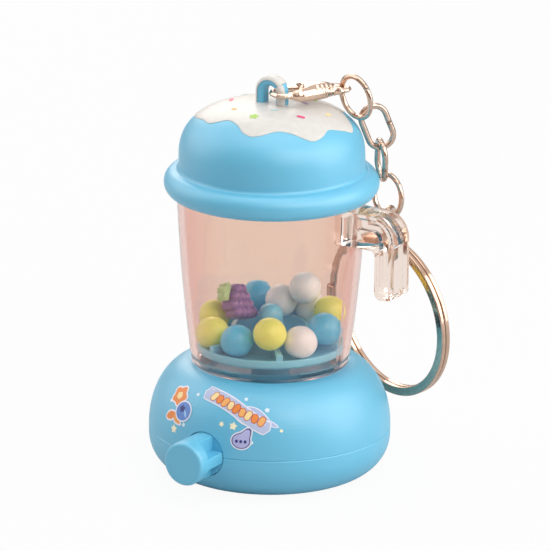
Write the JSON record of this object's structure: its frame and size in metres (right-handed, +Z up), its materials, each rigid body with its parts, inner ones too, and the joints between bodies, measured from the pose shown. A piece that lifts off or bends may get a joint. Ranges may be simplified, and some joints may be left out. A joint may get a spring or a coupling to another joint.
{
  "type": "gumball machine keychain toy",
  "caption": "Miniature gumball dispenser on a key chain: clear ball cup over a bulbous base, domed lid, side handle, and a push knob that turns the ball tray.",
  "frame": {"origin": "centre of the flat foot, on the surface that the toy stands on", "axes": "+Z up through the dome, the push knob along -Y, the handle along +X, the key chain hangs at the +X +Y side"},
  "size_m": [0.047, 0.0476, 0.0679],
  "materials": {
    "blue_plastic": "satin moulded ABS, light sky blue",
    "clear_plastic": "clear polystyrene with a warm tint",
    "plated_metal": "polished nickel plate",
    "steel": "zinc-plated steel wire and screws",
    "white_plastic": "white acetal",
    "yellow_ball": "glossy hard candy shell, yellow",
    "white_ball": "glossy hard candy shell, white",
    "blue_ball": "glossy hard candy shell, blue",
    "purple_resin": "cast resin, purple",
    "green_resin": "cast resin, light green"
  },
  "bodies": {
    "housing": {"base_lower_shell": "blue_plastic", "base_upper_shell": "blue_plastic", "base_screws": "steel", "cup": "clear_plastic", "handle": "clear_plastic", "lid": "blue_plastic", "return_spring": "steel"},
    "turntable": {"turntable": "blue_plastic", "drive_pinion": "white_plastic", "pinion_screw": "steel", "balls_yellow": "yellow_ball", "balls_white": "white_ball", "balls_blue": "blue_ball", "grape_charm": "purple_resin", "grape_leaf": "green_resin"},
    "plunger": {"plunger": "blue_plastic"},
    "clasp": {"clasp_body": "plated_metal", "clasp_pin": "plated_metal", "clasp_spring": "steel"},
    "clasp_lever": {"clasp_lever": "plated_metal"},
    "ring_upper": {"jump_ring_upper": "plated_metal"},
    "link_1": {"chain_link_1": "plated_metal"},
    "link_2": {"chain_link_2": "plated_metal"},
    "ring_lower": {"jump_ring_lower": "plated_metal"},
    "link_3": {"chain_link_3": "plated_metal"},
    "key_ring": {"split_ring": "plated_metal"}
  },
  "joints": [
    {"name": "plunger_slide", "type": "slide", "parent": "housing", "child": "plunger", "axis": [0, 1, 0], "range_m": [0, 0.005], "stiffness_N_per_m": 60, "springref_m": -0.003, "deforming": ["return_spring"]},
    {"name": "turntable_turn", "type": "hinge", "parent": "housing", "child": "turntable", "pos_m": [0, 0, 0.013], "axis": [0, 0, 1], "range_deg": [0, 75]},
    {"name": "clasp_lift", "type": "hinge", "parent": "housing", "child": "clasp", "pos_m": [0.00088, -0.00127, 0.0646], "axis": [0.7638, -0.6455, 0], "range_deg": [0, 22]},
    {"name": "clasp_lever_turn", "type": "hinge", "parent": "clasp", "child": "clasp_lever", "pos_m": [0.00541, 0.00611, 0.0646], "axis": [0, 0, 1], "range_deg": [0, 22], "stiffness_Nm_per_rad": 0.002, "springref_deg": -17.19, "deforming": ["clasp_spring"]},
    {"name": "ring_upper_swing", "type": "hinge", "parent": "clasp", "child": "ring_upper", "pos_m": [0.00922, 0.00861, 0.0646], "axis": [0.7638, -0.6455, 0], "range_deg": [0, 20]},
    {"name": "link_1_swing", "type": "hinge", "parent": "ring_upper", "child": "link_1", "pos_m": [0.01166, 0.00742, 0.06045], "axis": [0.9567, -0.2743, -0.097], "range_deg": [0, 35]},
    {"name": "link_2_swing", "type": "hinge", "parent": "link_1", "child": "link_2", "pos_m": [0.01398, 0.01107, 0.05472], "axis": [0.7201, 0.6935, -0.0222], "range_deg": [0, 25]},
    {"name": "ring_lower_swing", "type": "hinge", "parent": "link_2", "child": "ring_lower", "pos_m": [0.01231, 0.01394, 0.04922], "axis": [0.6324, -0.462, -0.6217], "range_deg": [0, 30]},
    {"name": "link_3_swing", "type": "hinge", "parent": "ring_lower", "child": "link_3", "pos_m": [0.01447, 0.014, 0.04217], "axis": [0.911, -0.2931, 0.2901], "range_deg": [0, 30]},
    {"name": "key_ring_swing", "type": "hinge", "parent": "link_3", "child": "key_ring", "pos_m": [0.01367, 0.01583, 0.03595], "axis": [0.1504, -0.8792, -0.4521], "range_deg": [0, 15]}
  ],
  "couplings": [
    {"joint": "turntable_turn", "follows": "plunger_slide", "rad_per_m": 250}
  ]
}
